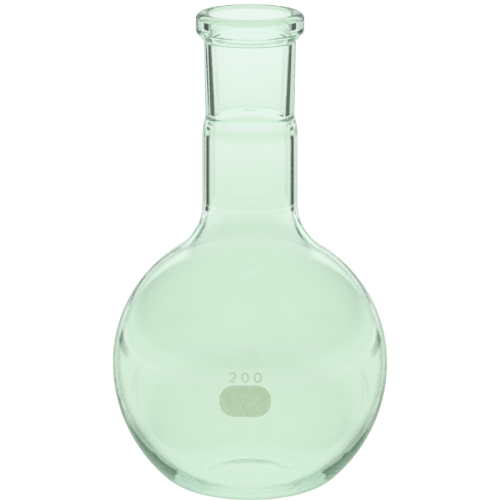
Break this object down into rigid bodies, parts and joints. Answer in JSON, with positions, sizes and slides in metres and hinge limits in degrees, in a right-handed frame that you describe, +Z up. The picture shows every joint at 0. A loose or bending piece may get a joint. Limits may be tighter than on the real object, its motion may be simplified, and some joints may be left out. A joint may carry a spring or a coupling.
{
  "type": "flat bottom flask",
  "caption": "Round-bodied laboratory flask of pale green glass with a flat foot, a straight neck, a tapered ground socket, a beaded rim and a small writing patch.",
  "frame": {"origin": "middle of the base, on the plane that the foot stands on", "axes": "+Z up along the axis that the flask was turned about; the writing patch faces -Y, two degrees towards -X"},
  "size_m": [0.08, 0.0801, 0.1403],
  "materials": {
    "glass": "clear fire-polished glass with a faint green tint",
    "enamel": "thin fired enamel, satin, pale grey green"
  },
  "bodies": {
    "root": {"flask": "glass", "writing_patch": "enamel"}
  },
  "joints": []
}
